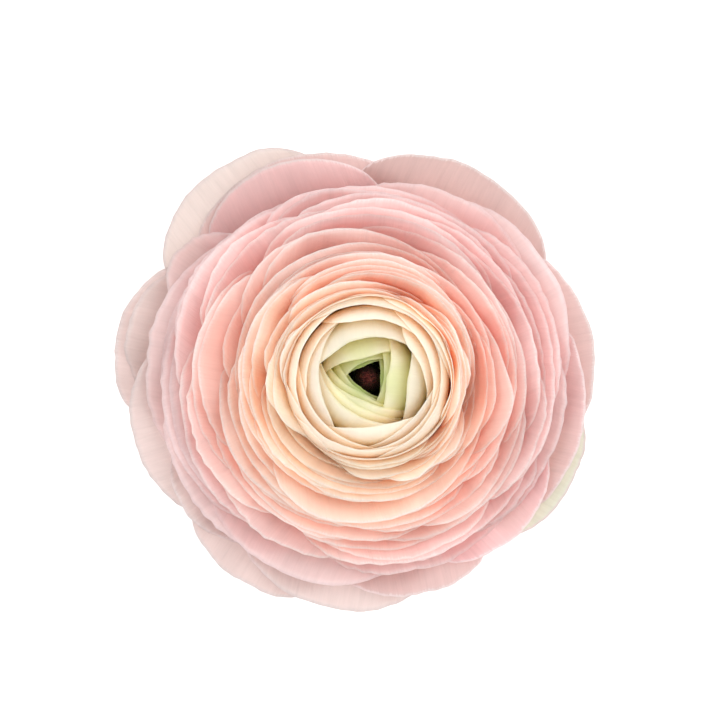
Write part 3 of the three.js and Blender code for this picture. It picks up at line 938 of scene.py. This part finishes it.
def petal_material(name, rim_highlight_from, veins, vein_depth, through, tints=None):
    """A thin translucent petal. tints take the place of the bodies' colours where each petal has its own."""
    s = Shader(name)
    grain = s.uv("grain")[0]
    _, place, up = s.uv("place")
    _, lot, _ = s.uv("lot")
    # Body colours: the petals' own, and lighter on the inner places as painted light
    body = s.ramp(lot, tints) if tints else s.ramp(place, BODY_COLOURS_AND_PAINTED_LIGHT)
    # Rim band: its own paler colour and a painted highlight
    rim = s.ramp(place, PALE_RIMS_AND_HIGHLIGHTS)
    # Lower parts' colours, with painted light on the outermost petals
    root = s.ramp(place, ROOT_COLOURS_AND_PAINTED_LIGHT)
    streaks, folds, fine = (
        s.noise(s.scaled(grain, (1, drawn, 1)), *values)
        for drawn, *values in (STREAKS, FOLDS, FINE_VEINS)
    )
    blotch = s.noise(grain, *BLOTCHES)
    # Where the rim band, partly a painted highlight, takes over
    high = s.between(s.math("ADD", up, s.around(streaks, RIM_UNEVEN)), rim_highlight_from, RIM_END)
    deep = s.between(up, *ROOT_SPAN)
    colour = s.mix(deep, root, body)
    colour = s.mix(high, colour, rim)
    # Lightness: veins, blotches and each petal's lot are its own tone; the folds' share is painted shade
    tone_and_fold_shade = s.math("ADD", s.around(streaks, veins), 1.0)
    for pattern, depth in ((folds, veins), (blotch, BLOTCH_DEPTH), (lot, LOT_DEPTH)):
        tone_and_fold_shade = s.math("ADD", tone_and_fold_shade, s.around(pattern, depth))
    lightness = s.node("ShaderNodeCombineColor")
    for socket in lightness.inputs:
        s.link(tone_and_fold_shade, socket)
    colour = s.mix(1.0, colour, lightness.outputs[0], "MULTIPLY")
    surface = s.node("ShaderNodeBsdfPrincipled")
    s.link(colour, surface.inputs["Base Color"])
    for key, value in PETAL_FINISH.items():
        surface.inputs[key].default_value = value
    ridges = s.math("ADD", s.math("MULTIPLY", streaks, 0.7), s.math("MULTIPLY", fine, 0.3))
    ridges = s.math("ADD", ridges, s.math("MULTIPLY", folds, 2.0))
    normal = s.bump(ridges, vein_depth * MM)
    s.link(normal, surface.inputs["Normal"])
    glow = s.node("ShaderNodeBsdfTranslucent")
    s.link(colour, glow.inputs["Color"])
    s.link(normal, glow.inputs["Normal"])
    both = s.node("ShaderNodeMixShader")
    both.inputs[0].default_value = through
    s.link(surface.outputs[0], both.inputs[1])
    s.link(glow.outputs[0], both.inputs[2])
    s.link(both.outputs[0], s.out.inputs["Surface"])
    return s.material


# Colours of petals by their place: their rim's radius as a share of the last shell's reach. Besides the
# petals' own colours, from green in the heart through cream to pink, the inner places are made lighter:
# painted light against the shade deep in the bloom
BODY_COLOURS_AND_PAINTED_LIGHT = [(0.04, srgb(218, 229, 150)), (0.07, srgb(246, 246, 212)), (0.10, srgb(254, 252, 234)),
          (0.14, srgb(255, 251, 240)), (0.20, srgb(255, 249, 241)), (0.27, srgb(254, 246, 234)),
          (0.36, srgb(255, 243, 231)), (0.42, srgb(255, 242, 232)), (0.56, srgb(254, 237, 231)),
          (0.69, srgb(251, 234, 232)), (0.78, srgb(252, 240, 239)), (0.86, srgb(244, 228, 226))]
# Colours of rims: paler than the bodies, partly their own colour and partly painted highlight
PALE_RIMS_AND_HIGHLIGHTS = [(0.04, srgb(220, 232, 160)), (0.08, srgb(248, 246, 214)), (0.20, srgb(255, 251, 240)),
        (0.42, srgb(255, 250, 246)), (0.60, srgb(255, 247, 244)), (0.78, srgb(253, 241, 241)),
        (0.86, srgb(240, 230, 228))]
# Colours of petals' lower parts by their place. The last stop is lighter than the bodies there: painted light
# where the petals in front shade the outermost petals' lower parts
ROOT_COLOURS_AND_PAINTED_LIGHT = [(0.05, srgb(190, 214, 96)), (0.13, srgb(246, 238, 170)), (0.22, srgb(253, 238, 186)),
         (0.32, srgb(254, 240, 204)), (0.5, srgb(254, 226, 206)), (0.7, srgb(252, 214, 206)),
         (0.86, srgb(246, 234, 228))]

# Colours of the guard petals by their tint
TINTS = [(0.0, srgb(238, 238, 226)), (0.15, srgb(239, 231, 226)), (0.35, srgb(240, 229, 226)),
         (0.5, srgb(228, 208, 204)), (0.65, srgb(236, 218, 215)), (0.95, srgb(247, 223, 223))]

# Where the rim's band starts (its own paler colour and a painted highlight), how much lighter or darker veins
# are, with folds as painted shade, their depth in millimetres, and what share of the light goes through
PETAL_LOOKS = {
    "heart": dict(rim_highlight_from=0.96, veins=0.07, vein_depth=0.04, through=0.52),
    "inner": dict(rim_highlight_from=0.98, veins=0.09, vein_depth=0.05, through=0.72),
    "outer": dict(rim_highlight_from=0.982, veins=0.11, vein_depth=0.07, through=0.72),
    "guard": dict(rim_highlight_from=0.985, veins=0.13, vein_depth=0.10, through=0.6, tints=TINTS),
}

# The other finishes
MOTTLE_DEPTH = 0.16
SPECKS = dict(scale=2600, span=(0.60, 0.68))


def part_material(name, stops, roughness, specular, grain_scale, bump, speck=None):
    """A finish whose colour runs along the part, with a fine mottle, relief and perhaps coloured specks."""
    s = Shader(name)
    _, place, _ = s.uv("place")
    where = s.node("ShaderNodeTexCoord").outputs["Object"]
    mottle = s.noise(where, grain_scale, 3.0, 0.6)
    colour = s.ramp(s.math("ADD", place, s.around(mottle, MOTTLE_DEPTH)), stops)
    if speck:
        grains = s.between(s.noise(where, SPECKS["scale"], 1.0, 0.5), *SPECKS["span"])
        colour = s.mix(grains, colour, (*speck, 1))
    surface = s.node("ShaderNodeBsdfPrincipled")
    s.link(colour, surface.inputs["Base Color"])
    surface.inputs["Roughness"].default_value = roughness
    surface.inputs["Specular IOR Level"].default_value = specular
    s.link(s.bump(mottle, bump * MM), surface.inputs["Normal"])
    s.link(surface.outputs[0], s.out.inputs["Surface"])
    return s.material


# Colours of the pistil head, near black low down to light red at the top: its own dark carpels with redder
# tips, lightened on the top and flanks as painted light
PISTIL_COLOURS_AND_PAINTED_LIGHT = [(0.0, srgb(44, 14, 18)), (0.3, srgb(74, 26, 30)), (0.75, srgb(140, 62, 66)),
                  (1.0, srgb(176, 98, 92))]
STAMEN_COLOURS = [(0.0, srgb(92, 98, 50)), (0.45, srgb(60, 48, 30)), (0.6, srgb(34, 24, 20)),
                  (1.0, srgb(48, 34, 24))]
POLLEN = srgb(176, 130, 58)
STEM_COLOURS = [(0.0, srgb(206, 218, 160)), (0.05, srgb(214, 224, 172)), (0.09, srgb(150, 172, 96)),
                (0.12, srgb(196, 210, 146)), (0.14, srgb(140, 166, 84)), (0.3, srgb(158, 180, 104))]
SEPAL_COLOURS = [(0.0, srgb(176, 190, 118)), (0.4, srgb(146, 168, 88)), (0.85, srgb(158, 170, 96)),
                 (1.0, srgb(190, 184, 128))]

# Colours, roughness, specular level, the mottle's scale, its depth in millimetres and the colour of specks
PART_LOOKS = {
    "pistil": (PISTIL_COLOURS_AND_PAINTED_LIGHT, 0.4, 0.45, 1500, 0.02),
    "stamen": (STAMEN_COLOURS, 0.6, 0.3, 1200, 0.02, POLLEN),
    "stem": (STEM_COLOURS, 0.5, 0.35, 600, 0.03),
    "sepal": (SEPAL_COLOURS, 0.6, 0.3, 500, 0.04),
}


# Camera, light and floor

PHOTO_SCALE = 0.2  # mm a pixel of the photograph
PHOTO_SIDE = 720
AXIS_PIXEL = (368, 378)  # where the bloom's axis lies in the photograph
SCALE_HEIGHT = 24.0  # height above the floor where the scale holds
CAMERA_HEIGHT = 1300.0
SENSOR = 36  # mm
FAR_CLIP = 10  # metres


def camera():
    data = bpy.data.cameras.new("camera")
    data.sensor_width = SENSOR
    data.lens = SENSOR * (CAMERA_HEIGHT - SCALE_HEIGHT) / (PHOTO_SCALE * PHOTO_SIDE)
    data.clip_end = FAR_CLIP
    made = bpy.data.objects.new("camera", data)
    centre = PHOTO_SIDE / 2
    made.location = (
        (centre - AXIS_PIXEL[0]) * PHOTO_SCALE * MM,
        (AXIS_PIXEL[1] - centre) * PHOTO_SCALE * MM,
        CAMERA_HEIGHT * MM,
    )
    bpy.context.scene.collection.objects.link(made)
    bpy.context.scene.camera = made


# Azimuth and elevation in degrees, distance and size in metres, power in watts
LIGHTS = {
    "key": dict(azimuth=25, elevation=52, distance=0.9, size=0.9, power=1.7, colour=(1.0, 0.99, 0.97)),
    "fill": dict(azimuth=140, elevation=40, distance=0.9, size=0.7, power=0.8, colour=(1, 1, 1)),
}
WORLD_STRENGTH = 1.15
BOUNCES = dict(max_bounces=40, diffuse_bounces=30, transmission_bounces=40)


def area_light(name, azimuth, elevation, distance, size, power, colour):
    data = bpy.data.lights.new(name, "AREA")
    data.shape = "DISK"
    data.size = size
    data.energy = power
    data.color = colour
    made = bpy.data.objects.new(name, data)
    turn = math.radians(azimuth)
    rise = math.radians(elevation)
    made.location = (
        distance * math.cos(rise) * math.cos(turn),
        distance * math.cos(rise) * math.sin(turn),
        distance * math.sin(rise),
    )
    made.rotation_euler = (math.pi / 2 - rise, 0, turn + math.pi / 2)
    bpy.context.scene.collection.objects.link(made)


def studio():
    for name, values in LIGHTS.items():
        area_light(name, **values)
    world = bpy.data.worlds.new("studio")
    world.use_nodes = True
    background = world.node_tree.nodes["Background"]
    background.inputs["Color"].default_value = (1, 1, 1, 1)
    background.inputs["Strength"].default_value = WORLD_STRENGTH
    bpy.context.scene.world = world
    view = bpy.context.scene.view_settings
    view.view_transform = "Standard"
    view.look = "None"
    for key, count in BOUNCES.items():
        setattr(bpy.context.scene.cycles, key, count)


FLOOR_HALF = 3.0  # metres
FLOOR_FINISH = {
    "Base Color": (0.92, 0.92, 0.92, 1),
    "Roughness": 0.9,
    "Specular IOR Level": 0.0,
    "Emission Color": (1, 1, 1, 1),
    "Emission Strength": 0.3,
}


def floor():
    mesh = bpy.data.meshes.new("floor")
    corners = [(FLOOR_HALF * x, FLOOR_HALF * y, 0) for x, y in ((-1, -1), (1, -1), (1, 1), (-1, 1))]
    mesh.from_pydata(corners, [], [(0, 1, 2, 3)])
    made = bpy.data.objects.new("floor", mesh)
    bpy.context.scene.collection.objects.link(made)
    s = Shader("floor")
    surface = s.node("ShaderNodeBsdfPrincipled")
    for key, value in FLOOR_FINISH.items():
        surface.inputs[key].default_value = value
    s.link(surface.outputs[0], s.out.inputs["Surface"])
    mesh.materials.append(s.material)


SEED = 11


def main():
    rng = np.random.default_rng(SEED)
    stack = Stack()
    finishes = {name: part_material(name, *looks) for name, looks in PART_LOOKS.items()}
    pistils(finishes["pistil"], rng)
    stamens(finishes["stamen"], rng)
    stem(finishes["stem"])
    sepals(finishes["sepal"], rng)
    for key in WHORLS:
        petals(key, petal_material(f"{key}_petal", **PETAL_LOOKS[key]), stack, rng)
    floor()
    camera()
    studio()


main()
